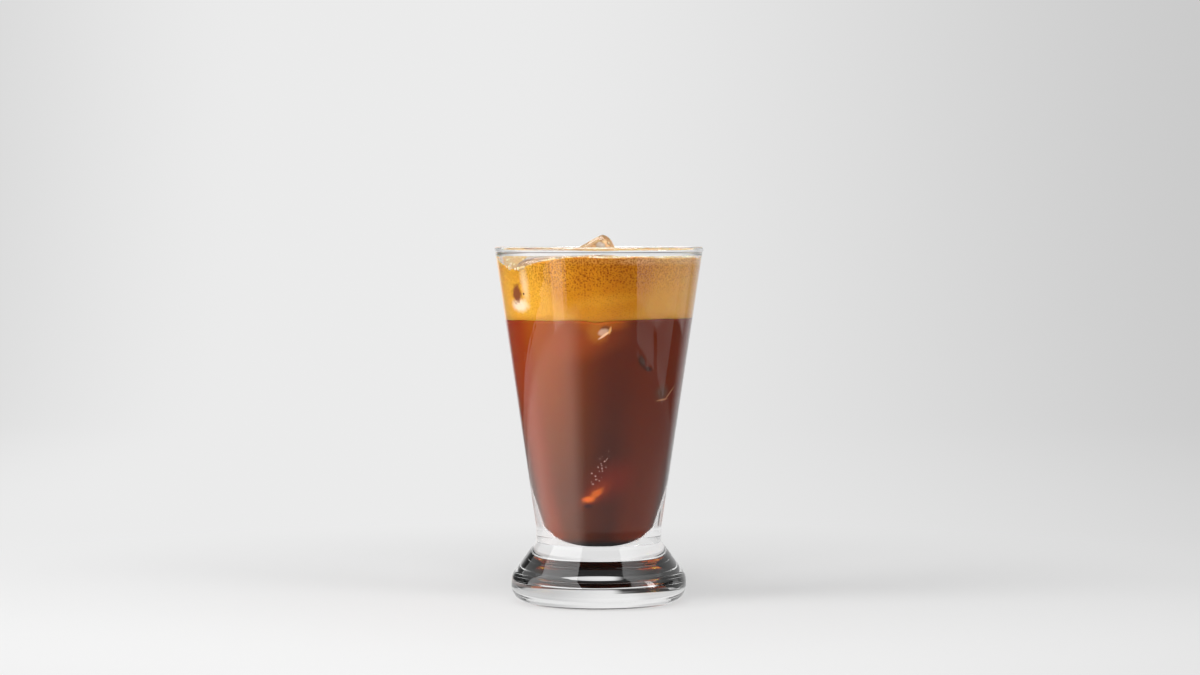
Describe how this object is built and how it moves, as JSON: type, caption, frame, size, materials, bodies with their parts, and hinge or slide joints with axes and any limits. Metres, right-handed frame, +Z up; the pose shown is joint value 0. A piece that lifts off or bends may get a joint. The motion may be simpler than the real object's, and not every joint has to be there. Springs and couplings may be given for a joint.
{
  "type": "iced coffee in a glass",
  "caption": "Iced coffee in a clear tapered glass with a flared solid foot: dark coffee under a thick golden layer of coffee foam, with ice cubes that break the surface.",
  "frame": {"origin": "middle of the foot's flat underside", "axes": "+Z up through the glass, -Y is the front"},
  "size_m": [0.0836, 0.0836, 0.1467],
  "materials": {
    "clear_glass": "clear, fire polished",
    "coffee": "dark red-brown liquid",
    "foam": "golden brown coffee foam with fine bubbles",
    "ice": "wet melting ice"
  },
  "bodies": {
    "root": {"glass": "clear_glass", "coffee": "coffee", "coffee_foam": "foam", "ice_cube_middle": "ice", "ice_cube_side": "ice"}
  },
  "joints": []
}
